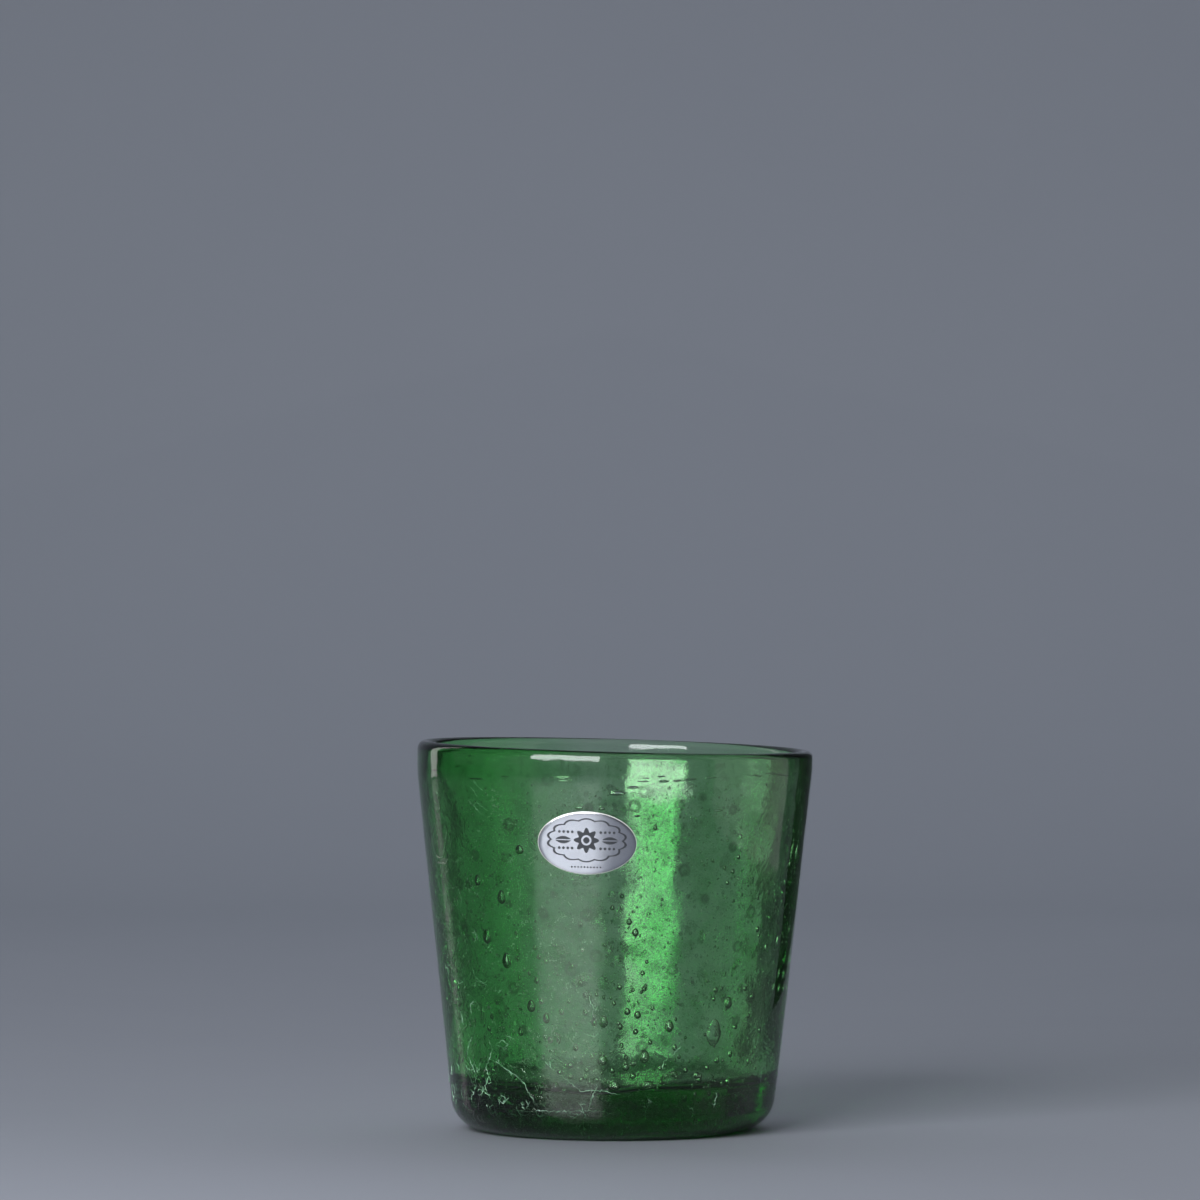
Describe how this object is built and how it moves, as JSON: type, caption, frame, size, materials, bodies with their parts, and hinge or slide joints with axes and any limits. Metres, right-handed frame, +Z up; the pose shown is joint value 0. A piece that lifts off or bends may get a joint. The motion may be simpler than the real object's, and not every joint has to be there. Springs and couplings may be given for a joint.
{
  "type": "candle holder",
  "caption": "Mouth-blown green bubble-glass candle cup: heavy base, wall flaring up to an upright, fire-polished lip, with a small blank oval foil seal stuck on its front.",
  "frame": {"origin": "on the table plane under the centre of the mouth", "axes": "+Z up out of the mouth, -Y towards the front that carries the seal, +X to the right as seen from the front"},
  "size_m": [0.1019, 0.1014, 0.1002],
  "materials": {
    "green_glass": "clear bottle-green soda glass, hand-blown with bubbles, glossy inside and out",
    "seal_paper": "white self-adhesive label paper, matt",
    "silver_foil": "silver foil face, satin, blank"
  },
  "bodies": {
    "root": {"glass_cup": "green_glass", "seal_paper": "seal_paper", "seal_foil": "silver_foil"}
  },
  "joints": []
}
